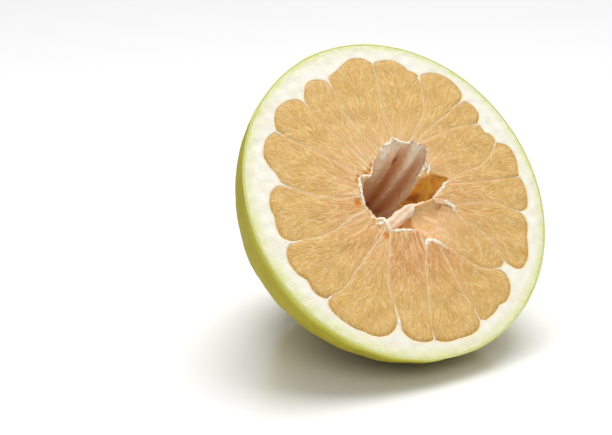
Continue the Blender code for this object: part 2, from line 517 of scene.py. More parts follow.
def rindPatterns(tree, patterns):
    pores = node(tree, "ShaderNodeTexVoronoi")
    plug(tree, 1 / rind["poreSize"], pores.inputs["Scale"])
    plug(tree, objectPlace(tree), pores.inputs["Vector"])
    distance = pores.outputs["Distance"]
    return {
        "dot": spread(tree, distance, *rind["dot"]),
        "pit": spread(tree, distance, *rind["pit"]),
        "wave": noiseNode(tree, rind["waveSize"]),
    }


placed(buildRind(), newMaterial("waxySkin", rind, rindPatterns))
print("rind ready")

# The walls between the segments: thin ribbons that widen into the white at their outer ends
ribbon = {
    "step": 0.7,                     # spacing of the mesh
    "columns": 8,
    "thin": 0.75,                    # width where the flesh is on both sides
    "wedge": (0.95, 0.05),           # width at the outer end, and how far in it starts to widen
    "wedges": {"M": (2.0, 0.12), "J": (1.4, 0.07), "Q": (1.3, 0.05), "K": (1.1, 0.07)},
    "coreEnds": {"Q": 0.36, "R": 0.345, "P": 0.385},         # walls that end short of the hollow
    "faint": {"A": 0.75, "S": 0.3, "H": 0.35, "C": 0.4, "B": 0.3},    # walls that hardly show
    "intoWhite": 0.012,              # how far they run on past the flesh
    "fadeToWhite": 0.045,
    "proud": 0.15,                   # above the flesh beside them
    "edgeDrop": 0.30,
    "uneven": (0.18, 5, 41),         # of the width, as a share
    "sway": (0.22, 9, 42),
    "rough": (0.06, 3, 43),
    "patchy": (0.45, 6, 44),
    "faintThin": (0.35, 0.25),       # how much narrower and lower a faint wall is
    "skirt": 3.0,
    "noises": {"streak": (0.0022, 0.35, 0.65)},
    "under": (236, 202, 150),
    "layers": (
        ("streak", 1, (245, 221, 178)),
        ("faint", 1, (226, 188, 126)),
        ("toCore", 0.6, (246, 208, 180)),
        ("white", 1, (246, 240, 220)),
    ),
    "bumps": (),
    "finish": {
        "Roughness": 0.5,
        "Subsurface Weight": 0.3, "Subsurface Radius": (1.0, 0.7, 0.45), "Subsurface Scale": 0.002,
    },
}


def wallWidth(name, reach):
    wide, length = ribbon["wedges"].get(name, ribbon["wedge"])
    valley = walls[name][0][0]
    return ribbon["thin"] + (wide - ribbon["thin"]) * smoothStep(valley - length, valley, reach)


# The flesh: one piece for each cut segment, with its juice sacs fanning out from the core
flesh = {
    "step": 0.32,                    # spacing of the mesh
    "crowd": 0.45,                   # how much closer it is beside the walls
    "length": 0.58,                  # from the hollow to the rind, to count the rows by
    "wallGap": -0.15,                # the flesh reaches this far under a wall's edge, so minus
    "coreGap": 0.008,
    "wallEdge": 0.0,                 # height at the walls and at the outer bulges
    "bulgeEdge": -0.25,
    "rise": 0.30,                    # from the edge to the middle
    "roundOff": 1.1,
    "highest": 0.6,
    "sacTries": 1100,                # sacs are thrown at random, and those with room stay
    "sacSpacing": 1.02,
    "sacLength": 8.0,                # half the length and half the width of a juice sac
    "sacWidth": 1.05,
    "sacTaper": 0.35,                # its outer end is broader by this share
    "sacRelief": 0.12,
    "fan": 34,                       # how far the sacs lean away from the segment's middle line
    "wander": (5, 24),               # how far they stray from it, and how much more near the rind
    "seam": (0.0, 0.34),             # between two sacs, as shares of a sac's half width
    "seamDepth": 0.03,
    "sizes": (0.8, 1.2),
    "stir": (0.25, 4, 11),           # bends the sacs a little
    "swell": (0.20, 13, 21),         # slow unevenness of the cut
    "fine": (0.04, 1.3, 22),
    "bulgeZone": (0.70, 0.84),       # reaches between which the outer bulges begin
    "coreZone": (0.30, 0.66),        # and the paler flesh round the hollow ends
    "warmZone": (0.30, 0.75),
    "byWall": 1.1,                   # width of the pale strip along a wall
    "byBulge": 1.4,                  # and of the darker one along the outer edge
    "wispTurns": (60, 95, 165, 215), # most of the pale threads are at the upper left
    "wispReaches": (0.44, 0.27),     # where they start, and where they are strongest
    "paintedGlintLevels": (0.8, 1.6),
    "spotEdge": (0.35, 1.4, 26),
    "spotDepth": 0.3,
    "skirt": 3.2,
    "skirts": {"N": 12, "P": 12, "Q": 24, "R": 12, "S": 12},       # where the hollow shows their sides
    "innerStop": {"P": 0.345, "R": 0.362, "Q": 0.114},             # ends that don't follow the hollow
    # browned spots beside the hollow, as (direction, reach, size)
    "browned": (
        (176, 0.292, 2.3), (229, 0.276, 1.7), (118, 0.252, 1.3), (279, 0.152, 1.5), (338, 0.275, 0.8),
        (149, 0.290, 1.1), (126, 0.238, 1.7), (134, 0.250, 1.6), (142, 0.284, 1.2),
    ),
    # how much oranger each segment turns toward the core
    "warmth": {
        "M": 0.95, "N": 1.0, "P": 1.0, "L": 0.45, "K": 0.5, "J": 0.45, "Q": 0.25, "R": 0.5, "S": 0.5,
        "A": 0.4, "I": 0.2, "C": 0.15, "B": 0.1,
    },
    "streak": (1.05, 0.34, 0.68, 3, 0.55),      # fibres in a sac, in its own frame
    "grainStretch": 0.16,
    "noises": {"grain": (0.0018, 0.35, 0.7, 4, 0.6), "cloud": (0.013, 0.35, 0.65, 2)},
    "under": (197, 151, 74),
    "layers": (
        ("tone", 1, (216, 176, 100)),
        ("cloud", 0.45, (210, 162, 78)),
        ("toCore", 0.6, (228, 178, 126)),
        ("warm", 0.9, (192, 120, 54)),
        ("streak", 0.38, (238, 204, 140)),
        ("grain", 0.2, (196, 146, 72)),
        ("atBulge", 0.7, (192, 144, 68)),
        ("seam", 0.48, (244, 220, 166)),
        ("byWall", 0.5, (236, 194, 144)),
        # pale threads near the hollow, and painted glints all over
        ("pale", 0.75, (246, 220, 184)),
        ("brown", 0.95, (205, 122, 14)),
    ),
    "bumps": (("streak", 0.0002, 0.3), ("grain", 0.0002, 0.2)),
    "finish": {
        "Roughness": 0.4, "Specular IOR Level": 0.35, "Coat Weight": 0.05, "Coat Roughness": 0.25,
        "Subsurface Weight": 0.25, "Subsurface Radius": (1.0, 0.55, 0.25), "Subsurface Scale": 0.002,
    },
}

# One segment is torn and hangs into the hollow as a slope, with its own sides below the walls' ends
torn = {
    "name": "Q",
    "wallsEnd": 0.39,
    "left": ((0.37, 298.4), (0.31, 293), (0.26, 286.5), (0.207, 286.2), (0.148, 295), (0.12, 309),
             (0.113, 318)),
    "right": ((0.36, 338.5), (0.32, 344), (0.26, 348), (0.203, 346), (0.165, 340), (0.134, 331),
              (0.113, 323.5)),
    "length": 0.78,
    "drop": 5.0,
    "dropZone": (0.10, 0.46),        # reaches between which it falls away to the hollow
    "rightSide": (0.65, 1.0),        # falls less
    "calm": (0.25, 0.60),            # its sacs fade out between these, toward the hollow
}


def sideDirection(name, wallName, turn, reach, hand):
    # the direction of one side of a segment's flesh at each reach; hand is 1 at its first wall
    run = walls[wallName]
    if name == torn["name"]:
        run = [point for point in run if point[0] > torn["wallsEnd"]]
        run += torn["left" if hand == 1 else "right"]
    middle = smoothRun(reach, run[::-1]) + turn
    clear = (wallWidth(wallName, reach) - ribbon["thin"]) / 2 + flesh["wallGap"]
    return middle + hand * np.degrees(clear / (np.maximum(reach, 0.1) * reachMm))


def segmentPlace(name, across, along):
    # places on the cut face for shares across (0 to 1) and along (core to rind) the segment
    follower, turn = nextWall(name)

    def directionAt(reach):
        first = sideDirection(name, name, 0, reach, 1)
        last = sideDirection(name, follower, turn, reach, -1)
        half = np.maximum((last - first) / 2, 0.15)
        return (first + last) / 2 + half * (2 * across - 1)

    outer = np.full_like(across, 0.85)
    for again in range(5):
        outer = (outer + outerReach(name, directionAt(outer))) / 2
    outer = outerReach(name, directionAt(outer))
    inner = coreReach(directionAt(np.full_like(across, 0.36))) + flesh["coreGap"]
    if name in flesh["innerStop"]:
        inner = np.full_like(across, flesh["innerStop"][name])
    reach = inner + (outer - inner) * along
    direction = directionAt(reach)
    return np.column_stack(polar(direction, reach)), direction, reach


def outlineOf(name, count=120):
    t = np.linspace(0, 1, count)
    zero, one = np.zeros(count), np.ones(count)
    sides = [(zero, t), (eased(t), one), (one, t[::-1]), (eased(t)[::-1], zero)]
    return np.concatenate([segmentPlace(name, a, b)[0] for a, b in sides])


def inBatches(points, size=4000):
    # so that the tables of gaps stay small
    return [slice(start, start + size) for start in range(0, len(points), size)]


def nearest(points, targets):
    return np.concatenate([
        np.linalg.norm(points[part, None] - targets[None], axis=2).min(1) for part in inBatches(points)
    ])


def sacDistance(points, sacs):
    # how far each point is from each sac, where 1 is about the sac's skin
    dx = points[:, None, 0] - sacs[None, :, 0]
    dy = points[:, None, 1] - sacs[None, :, 1]
    along = dx * sacs[None, :, 2] + dy * sacs[None, :, 3]
    across = dy * sacs[None, :, 2] - dx * sacs[None, :, 3]
    length = flesh["sacLength"] * sacs[None, :, 4]
    width = flesh["sacWidth"] * sacs[None, :, 4] * (1 + flesh["sacTaper"] * np.tanh(along / length))
    return np.sqrt((along / length) ** 2 + (across / width) ** 2)


def sowSacs(name, draw):
    # juice sacs at random places that keep their distance, as (x, y, heading x and y, size)
    tries = flesh["sacTries"]
    across, along = draw.uniform(0, 1, (2, tries))
    along = np.sqrt(along * 0.94 + 0.04)                  # more of them toward the broad end
    places, direction = segmentPlace(name, across, along)[:2]
    leanOut = (2 * across - 1) * flesh["fan"] * (0.35 + 0.65 * along)
    stray, more = flesh["wander"]
    wander = draw.normal(0, 1, tries) * (stray + more * smoothStep(0.74, 0.96, along))
    heading = np.radians(direction + leanOut + wander)
    size = draw.uniform(*flesh["sizes"], tries) * (1 - 0.35 * smoothStep(0.75, 1.0, along))
    sacs = np.stack([places[:, 0], places[:, 1], np.cos(heading), np.sin(heading), size], 1)
    kept = [0]
    for k in range(1, tries):
        if sacDistance(places[k:k + 1], sacs[kept]).min() > flesh["sacSpacing"]:
            kept.append(k)
    return sacs[kept]


def sacField(points, sacs):
    # how far each point is from its sac's middle and from the seam, and which sac it is in
    first, seam = np.empty((2, len(points)))
    which = np.empty(len(points), int)
    for part in inBatches(points):
        gap = sacDistance(points[part], sacs)
        ranked = np.partition(gap, 1, axis=1)
        first[part] = ranked[:, 0]
        seam[part] = ranked[:, 1] - ranked[:, 0]
        which[part] = gap.argmin(1)
    return first, seam, which


def sacGrain(points, sacs, which):
    # each point's place in its own sac's frame: across it and along it, in millimetres
    away = points - sacs[which, :2]
    ahead = sacs[which, 2:4]
    across = away[:, 1] * ahead[:, 0] - away[:, 0] * ahead[:, 1]
    return across + 7.3 * which, (away * ahead).sum(1)


def slab(name, columns, rows):
    # a flat closed slab, -1 to 1 both ways, with its top at 0 and its bottom at -1
    shape = bmesh.new()
    bmesh.ops.create_grid(shape, x_segments=columns, y_segments=rows, size=1)
    rim = [edge for edge in shape.edges if edge.is_boundary]
    grown = bmesh.ops.extrude_edge_only(shape, edges=rim)["geom"]
    for item in grown:
        if isinstance(item, bmesh.types.BMVert):
            item.co.z = -1
    bmesh.ops.contextual_create(shape, geom=[edge for edge in shape.edges if edge.is_boundary])
    bmesh.ops.recalc_face_normals(shape, faces=shape.faces)
    piece = pieceFrom(name, shape)
    return piece, coordsOf(piece.data)


def brownedAt(places):
    brown = np.zeros(len(places))
    edge = 1 + uneven(places, flesh["spotEdge"])
    for direction, reach, size in flesh["browned"]:
        away = np.linalg.norm(places - np.array(polar(direction, reach)), axis=1)
        brown = np.maximum(brown, np.exp(-(edge * away / size) ** 4))
    return brown


def wispsAndGlintsAt(places, direction, reach, atBulge):
    # pale threads near the hollow, and painted glints as pale specks all over
    upperLeft = band(*flesh["wispTurns"], direction)
    start, full = flesh["wispReaches"]
    thread = smoothStep(0.0, 1.4, ripple(np.column_stack([direction * 0.5, reach * 9]), 2.6, 25))
    wisp = smoothStep(start + 0.08 * upperLeft, full, reach) * thread
    paintedGlint = smoothStep(*flesh["paintedGlintLevels"], ripple(places, 1.9, 24)) * (1 - 0.6 * atBulge)
    return np.clip(0.35 * paintedGlint + (0.55 + 0.4 * upperLeft) * wisp, 0, 1)


def buildSegment(name, draw):
    follower, turn = nextWall(name)
    isTorn = name == torn["name"]
    width = np.radians(walls[follower][0][1] + turn - walls[name][0][1]) * 0.85 * reachMm
    columns = max(int(width / flesh["step"] * 0.85), 16)
    rows = int((torn if isTorn else flesh)["length"] * reachMm / flesh["step"])
    piece, flat = slab("segment_" + name, columns, rows)
    share = (1 - flat[:, 0]) / 2
    across = flesh["crowd"] * eased(share) + (1 - flesh["crowd"]) * share
    places, direction, reach = segmentPlace(name, across, (flat[:, 1] + 1) / 2)
    inset = nearest(places, outlines[name])
    sacs = sowSacs(name, draw)
    stir = stirred(places, *flesh["stir"])
    first, seam, which = sacField(places + stir, sacs)
    tone, lift = draw.uniform(0, 1, len(sacs))[which], draw.uniform(-1, 1, len(sacs))[which]
    atSeam = 1 - smoothStep(*flesh["seam"], seam)
    dome = np.clip(1 - first**2, -0.4, 1) + 0.35 * lift * (1 - atSeam)
    inward = 1 - np.exp(-inset / flesh["roundOff"])
    atBulge = smoothStep(*flesh["bulgeZone"], reach)
    brown = brownedAt(places)
    edge = flesh["wallEdge"] + (flesh["bulgeEdge"] - flesh["wallEdge"]) * atBulge
    height = edge + (flesh["rise"] - edge) * inward
    height += uneven(places, flesh["swell"]) * inward
    height += inward * (flesh["sacRelief"] * (dome - 0.4) - flesh["seamDepth"] * atSeam)
    height += uneven(places, flesh["fine"]) - flesh["spotDepth"] * brown
    calm = np.zeros(len(places))
    if isTorn:
        calm = 1 - smoothStep(*torn["calm"], reach)
        rightSide = smoothStep(*torn["rightSide"], across)
        height -= torn["drop"] * (1 - smoothStep(*torn["dropZone"], reach)) * (1 - 0.6 * rightSide)
    height[flat[:, 2] < -0.5] = -flesh["skirts"].get(name, flesh["skirt"])
    setCoords(piece.data, np.column_stack([places, np.minimum(height, flesh["highest"])]))
    tone = np.clip(tone * 0.75 + draw.uniform(0, 0.25), 0, 1)
    grainAcross, grainAlong = sacGrain(places + stir * 2, sacs, which)
    giveValues(
        piece,
        seam=atSeam * (1 - 0.7 * calm),
        tone=tone * (1 - calm) + 0.6 * calm,
        grainAcross=grainAcross,
        grainAlong=grainAlong,
        pale=wispsAndGlintsAt(places + stir * 3, direction, reach, atBulge),
        warm=flesh["warmth"].get(name, 0) * (1 - smoothStep(*flesh["warmZone"], reach)),
        byWall=np.exp(-(inset / flesh["byWall"]) ** 2) * (1 - atBulge) * (not isTorn),
        toCore=1 - smoothStep(*flesh["coreZone"], reach),
        atBulge=np.exp(-(inset / flesh["byBulge"]) ** 2) * atBulge,
        brown=brown,
    )
    return piece


def fleshPatterns(tree, patterns):
    along = times(tree, fieldNode(tree, "grainAlong"), flesh["grainStretch"])
    place = fieldPlace(tree, fieldNode(tree, "grainAcross"), along)
    return {"streak": blotches(tree, *flesh["streak"], place)}


juicyFlesh = newMaterial("juicyFlesh", flesh, fleshPatterns)
outlines = {name: outlineOf(name) for name in order}
for number, name in enumerate(order):
    placed(buildSegment(name, np.random.default_rng(100 + number)), juicyFlesh)
print("segments ready")

# The pith: the white body that holds the segments, with their beds sunk into the cut face
pith = {
    "steps": 720,
    "outerRows": (12, 10, 8),        # along the body, the shoulder and the neck
    "ringStart": 0.70,               # from here out the face is finely divided
    "ringStep": 0.42,
    "bedRings": (0.65, 0.61, 0.57, 0.54),
    "bed": -1.7,                     # height of the beds under the flesh
    "bedEdge": (-1.0, 0.15),         # where the face drops to a bed, from the flesh's outline
    "tornDrop": 9.0,                 # how much lower the bed is under the torn segment
    "tornTurns": (262, 358),         # and in which directions and reaches
    "tornReaches": (0.44, 0.60),
    "rough": ((0.09, 7, 31), (0.03, 1.6, 32)),
    "coreClear": 5.0,                # thickness left for the core's lining
    "holeDepths": (2, 8, 16, 24, 32, 40, 45, 48),
    "holeBottom": 52,
    "fringe": (5.0, 4.0),            # width of the green tinge under the skin, and how much wider it is on the side away from this direction; the extra width is partly real and partly painted shade
    "fringeTurn": 60,                # it is on the side away from this direction
    "fleshGlowReach": (0.1, 1.3),        # how far a painted warm glow from the flesh reaches into the white, over its shaded drop
    "noises": {"patch": (0.006, 0.35, 0.65), "fine": (0.0011, 0.3, 0.7, 4, 0.6)},
    "streak": (1.0, 0.38, 0.66, 3, 0.6),
    "streaks": 420,                  # how fine the green threads are, round the fruit and inward
    "streakInward": 1.6,
    "under": (238, 234, 216),
    "layers": (
        ("patch", 1, (244, 241, 229)),
        ("green", 1, (222, 224, 152)),
        ("thread", 0.35, (212, 216, 140)),
        # painted light: a warm glow on the white beside the flesh, where its edge drops into shade
        ("byFlesh", 0.8, (244, 216, 160)),
    ),
    "bumps": (("fine", 0.0002, 0.3),),
    "finish": {
        "Roughness": 0.6, "Specular IOR Level": 0.3,
        "Subsurface Weight": 0.3, "Subsurface Radius": (1.0, 0.9, 0.6), "Subsurface Scale": 0.002,
    },
}

# The hollow core lies toward the upper right of the face and narrows evenly as it goes in
hollow = {
    "radius": 22.4,
    "offset": 6.4,
    "turn": 45,
    "depth": 49,
    "narrowing": 0.385,              # radius lost for each millimetre of depth
    "bottom": 8,                     # height of the rounded end
}
hollowX = hollow["offset"] * math.cos(math.radians(hollow["turn"]))
hollowY = hollow["offset"] * math.sin(math.radians(hollow["turn"]))


def hollowRadius(depth):
    wallDepth = hollow["depth"] - hollow["bottom"]
    side = hollow["radius"] - hollow["narrowing"] * np.minimum(depth, wallDepth)
    below = np.clip((depth - wallDepth) / hollow["bottom"], 0, 1)
    return side * np.sqrt(1 - below**2)


def fleshEdge(direction):
    # reach of the flesh's outer edge in each direction, whichever segment that is in
    first = walls["A"][0][1]
    turn = np.mod(direction - first, 360) + first
    starts = np.array([walls[name][0][1] for name in order])
    number = (np.searchsorted(starts, turn, side="right") - 1) % len(order)
    edge = np.zeros(len(direction))
    for k, name in enumerate(order):
        edge[number == k] = outerReach(name, turn[number == k])
    return edge


def outlineGap(places):
    # how far each place is from the nearest segment's outline
    points = np.concatenate(list(outlines.values()))
    finder = kdtree.KDTree(len(points))
    for k, (x, y) in enumerate(points):
        finder.insert((x, y, 0), k)
    finder.balance()
    return np.array([finder.find((x, y, 0))[2] for x, y in places])


def buildPith():
    outer = insideOf(outsideRows(*pith["outerRows"]), fruit["peel"])
    profile = [(r, -d) for r, d, s in reversed(outer) if d > 0.6]
    profile[0] = (0, profile[0][1])
    edge, start = reachMm - fruit["peel"], pith["ringStart"] * reachMm
    rings = int((edge - start) / pith["ringStep"])
    profile += [(edge + (start - edge) * k / rings, 0) for k in range(rings + 1)]
    profile += [(share * reachMm, pith["bed"]) for share in pith["bedRings"]]
    profile += [(float(hollowRadius(depth)) + pith["coreClear"], -depth) for depth in pith["holeDepths"]]
    profile.append((0, -pith["holeBottom"]))
    piece, coords, radius, direction = turned("pith", profile, pith["steps"])
    direction = np.mod(direction, 360)
    share = radius / reachMm
    ring = np.where(coords[:, 2] > -0.01)[0]              # the points on the cut face
    places = coords[ring, :2] * sectionSwell(direction[ring])[:, None]
    gap = outlineGap(places)
    fromFlesh = np.where(share[ring] > fleshEdge(direction[ring]), gap, -gap)
    top = uneven(places, *pith["rough"]) * smoothStep(0, 2, edge - radius[ring])
    coords[ring, 2] = pith["bed"] + (top - pith["bed"]) * smoothStep(*pith["bedEdge"], fromFlesh)
    first, last = pith["tornTurns"]
    near, far = pith["tornReaches"]
    underTorn = (direction > first) & (direction < last) & (share < far) & (coords[:, 2] > -9)
    coords[underTorn, 2] -= pith["tornDrop"] * (1 - smoothStep(near, far, share[underTorn]))
    # the green tinge widens away from fringeTurn, partly as painted shade on the lower left
    narrowest, more = pith["fringe"]
    fringe = narrowest + more * (0.5 - 0.5 * np.cos(np.radians(direction - pith["fringeTurn"])))
    # painted warm light on the white next to the flesh
    byFlesh = np.zeros(len(coords))
    byFlesh[ring] = 1 - smoothStep(*pith["fleshGlowReach"], fromFlesh)
    coords = ovalled(coords)
    height = coords[:, 2]
    widest = hollow["radius"] + pith["coreClear"] + 1
    inHole = (height < pith["bed"] - 0.2) & (height > -pith["holeBottom"] - 0.5) & (radius < widest)
    coords[inHole, :2] += (hollowX, hollowY)
    setCoords(piece.data, coords)
    fromSkin = 1 - smoothStep(0, fringe, edge - radius)
    giveValues(piece, fromSkin=fromSkin, byFlesh=byFlesh, round=direction / 360)
    return piece


def pithPatterns(tree, patterns):
    fromSkin = fieldNode(tree, "fromSkin")
    patchy = spread(tree, patterns["patch"], 0, 1, 0.35, 0.9)
    around = times(tree, fieldNode(tree, "round"), pith["streaks"])
    place = fieldPlace(tree, around, times(tree, fromSkin, pith["streakInward"]))
    return {
        "green": times(tree, times(tree, fromSkin, fromSkin), patchy),
        "thread": times(tree, fromSkin, blotches(tree, *pith["streak"], place)),
    }


placed(buildPith(), newMaterial("spongyPith", pith, pithPatterns))
print("pith ready")


def buildWall(name):
    valley = walls[name][0][0]
    inmost = ribbon["coreEnds"].get(name) or float(coreReach(walls[name][-1][1])) + 0.004
    rows = int((valley - inmost) * reachMm / ribbon["step"])
    piece, flat = slab("wall_" + name, ribbon["columns"], rows)
    side = -flat[:, 0]
    reach = inmost + (valley + ribbon["intoWhite"] - inmost) * (flat[:, 1] + 1) / 2
    key = np.column_stack([reach * reachMm, np.full(len(reach), 7.0 * order.index(name))])
    faint = ribbon["faint"].get(name, 0)
    narrower, lower = ribbon["faintThin"]
    width = wallWidth(name, reach) * (1 + uneven(key, ribbon["uneven"])) * (1 - narrower * faint)
    offset = side * width / 2 + uneven(key, ribbon["sway"])
    direction = smoothRun(np.minimum(reach, valley), walls[name][::-1])
    x, y = polar(direction + np.degrees(offset / (reach * reachMm)), reach)
    height = ribbon["proud"] - ribbon["edgeDrop"] * side**4 + uneven(key, ribbon["rough"]) - lower * faint
    height[flat[:, 2] < -0.5] = -ribbon["skirt"]
    setCoords(piece.data, np.column_stack([x, y, height]))
    giveValues(
        piece,
        white=smoothStep(valley - ribbon["fadeToWhite"], valley, reach),
        toCore=1 - smoothStep(0.30, 0.50, reach),
        faint=np.clip(faint + 0.25 + uneven(key, ribbon["patchy"]), 0, 1),
    )
    return piece


thinSkin = newMaterial("thinSkin", ribbon)
for name in order:
    placed(buildWall(name), thinSkin)
print("walls ready")

# The lining of the hollow: a folded white skin with ridges that run down into the fruit
lining = {
    "columns": 400,
    "rows": (84, 6, 8),              # up the inside, over the lip and down the outside
    "lip": 0.9,                      # thickness at the rim
    "proud": -0.45,
    "ragged": ((0.63, 1.7, 53), (0.36, 5, 54)),
    "crease": ((0.35, 3.0, 51), (0.20, 1.3, 52)),
    "settle": 11,                    # depth at which the rim's shape has smoothed out
    "slopeClear": 8.5,               # the rim stays this far down under the torn slope
    "underSlope": (274, 292, 338, 350),                      # directions in which it is there
    # ridges (inward, positive) and grooves, as (height, half width, directions at the depths below)
    "folds": (
        (4.2, 15, (98, 101, 99, 96)),
        (-2.4, 6, (63, 61, 59, 52)),
        (3.4, 8, (50, 47, 43, 33)),
        (-2.8, 6, (37, 33, 26, 8)),
        (6.2, 7.5, (23, 11, -9, -24)),
        (-3.4, 14, (3, -9, -28, -44)),
        (1.6, 12, (-55, -60, -65, -65)),
        (1.5, 14, (150, 150, 150, 150)),
        (1.6, 16, (205, 205, 205, 205)),
    ),
    "foldDepths": (0, 12, 22, 40),
    "crest": 4,                      # number of the fold with a white crest, counting from 0
    "crestWhite": (6, 11, 14, 30),   # how far past its middle, half width, fade depths
    "trough": 5,                     # number of the amber groove beside it
    "amber": (4, 19, 22, 30),        # how far past the trough's middle, half width, fade depths
    "slit": (66, 12, 2.6, 0.9),      # small and browned, as (turn, depth, half length, half width)
    "slitDepth": 0.6,
    "scorch": (-9, 18, 10, 4.5),     # a browned patch, as (turn, depth, half width, half height)
    "noises": {"fibre": (0.0018, 0.3, 0.7, 4, 0.6), "mottle": (0.0035, 0.4, 0.62, 3, 0.6)},
    "paintedShadeZone": (14, 42),            # depths between which painted shade darkens the wall
    "rimZone": (1.5, 9),             # and the rim's own colours end
    "lipZone": (0.3, 1.8),
    "starTurns": (28, 46, 88, 108),  # the white star at the upper edge
    "starDepths": (2, 9),
    "orange": (0.7, (255, 206, 86), (242, 152, 42)),         # share of mottle, and its two tints
    "under": (244, 204, 160),
    "layers": (
        ("fibre", 1, (250, 222, 184)),
        # high ridges paler: partly pale skin, partly painted light on their tops
        ("ridge", 0.8, (250, 234, 212)),
        # painted shade, darker deeper in the hollow
        ("deep", 0.75, (206, 154, 106)),
        ("groove", 0.75, (204, 116, 54)),
        ("amber", 0.97, "orange"),
        ("rust", 0.9, (150, 60, 20)),
        ("lip", 0.92, (252, 236, 212)),
    ),
    "bumps": (("fibre", 0.0005, 0.5),),
    "finish": {
        "Roughness": 0.5,
        "Subsurface Weight": 0.2, "Subsurface Radius": (1.0, 0.5, 0.3), "Subsurface Scale": 0.002,
    },
}


def rimRadius(turn):
    # from the hollow's middle to its edge on the cut face
    direction = np.arange(0, 360, 1.0)
    x, y = polar(direction, coreReach(direction))
    radius, angle = roundOf(x - hollowX, y - hollowY)
    return np.interp(turn, angle, radius, period=360)


def wrapped(columns, rows):
    # a closed skin: its seam and its two poles come together when the doubles are merged
    shape = bmesh.new()
    bmesh.ops.create_grid(shape, x_segments=columns, y_segments=rows, size=1)
    return shape, np.array([vertex.co[:2] for vertex in shape.verts])


def finished(name, shape, coords, **fields):
    # the folded skin's material reads all these values, and those not given are 0
    for key in ("groove", "ridge", "amber", "deep", "rust", "lip"):
        layer = shape.verts.layers.float.new(key)
        values = np.zeros(len(coords)) + fields.get(key, 0)
        for vertex, value in zip(shape.verts, values):
            vertex[layer] = float(value)
    for vertex, place in zip(shape.verts, coords):
        vertex.co = place
    bmesh.ops.remove_doubles(shape, verts=shape.verts, dist=0.001)
    bmesh.ops.recalc_face_normals(shape, faces=shape.faces)
    return pieceFrom(name, shape)


def foldsAt(turn, depth, narrow):
    # how far the folds stand in, and how much of a groove or of a high ridge each point is on
    fold, groove, ridge = np.zeros((3, len(turn)))
    for height, half, stops in lining["folds"]:
        wide = half * np.maximum(narrow, 0.2) ** -0.45
        bell = np.exp(-(wrapAngle(turn - np.interp(depth, lining["foldDepths"], stops)) / wide) ** 2)
        fold += height * bell * narrow**0.75
        if half < 10 and height < 0:                      # only narrow grooves are darker and oranger
            groove = np.maximum(groove, bell)
        if height > 3:                                    # and only high ridges are paler, partly their own pale skin and partly painted light on their tops
            ridge = np.maximum(ridge, bell)
    return fold * (0.1 + 0.9 * smoothStep(0, 4, depth)), groove, ridge


def pastFold(number, turn, depth):
    # how far round each point is from the middle of one of the folds
    return wrapAngle(turn - np.interp(depth, lining["foldDepths"], lining["folds"][number][2]))


def slitGap(turn, depth):
    slitTurn, slitDepth, length, width = lining["slit"]
    return np.hypot((depth - slitDepth) / length, wrapAngle(turn - slitTurn) * np.radians(18) / width)


def liningColours(turn, depth, groove, ridge, under):
    past, half, fadeStart, fadeEnd = lining["amber"]
    amber = np.exp(-((pastFold(lining["trough"], turn, depth) - past) / half) ** 6)
    amber *= 1 - smoothStep(fadeStart, fadeEnd, depth)
    past, half, fadeStart, fadeEnd = lining["crestWhite"]
    pastCrest = pastFold(lining["crest"], turn, depth)
    white = np.exp(-((pastCrest - past) / half) ** 2) * smoothStep(-4, 1, pastCrest)
    white *= 1 - smoothStep(fadeStart, fadeEnd, depth)
    scorchTurn, scorchDepth, width, tall = lining["scorch"]
    scorched = np.exp(-((depth - scorchDepth) / tall) ** 2 - (wrapAngle(turn - scorchTurn) / width) ** 2)
    star = band(*lining["starTurns"], turn) * (1 - smoothStep(*lining["starDepths"], depth))
    lip = 0.6 * (1 - smoothStep(*lining["lipZone"], depth)) * (1 - under) * (1 - amber)
    toRim = 1 - smoothStep(*lining["rimZone"], depth)
    return {
        "groove": groove * (1 - 0.5 * toRim),
        "ridge": ridge * (1 - amber),
        "amber": amber,
        # painted shade deeper down the hollow
        "deep": smoothStep(*lining["paintedShadeZone"], depth),
        "rust": np.maximum(np.exp(-slitGap(turn, depth) ** 4), 0.85 * scorched),
        # near the rim the high ridges are whiter still, partly as painted light
        "lip": np.clip(np.maximum.reduce([lip, white, 0.8 * star, 0.5 * ridge * toRim]), 0, 1),
    }


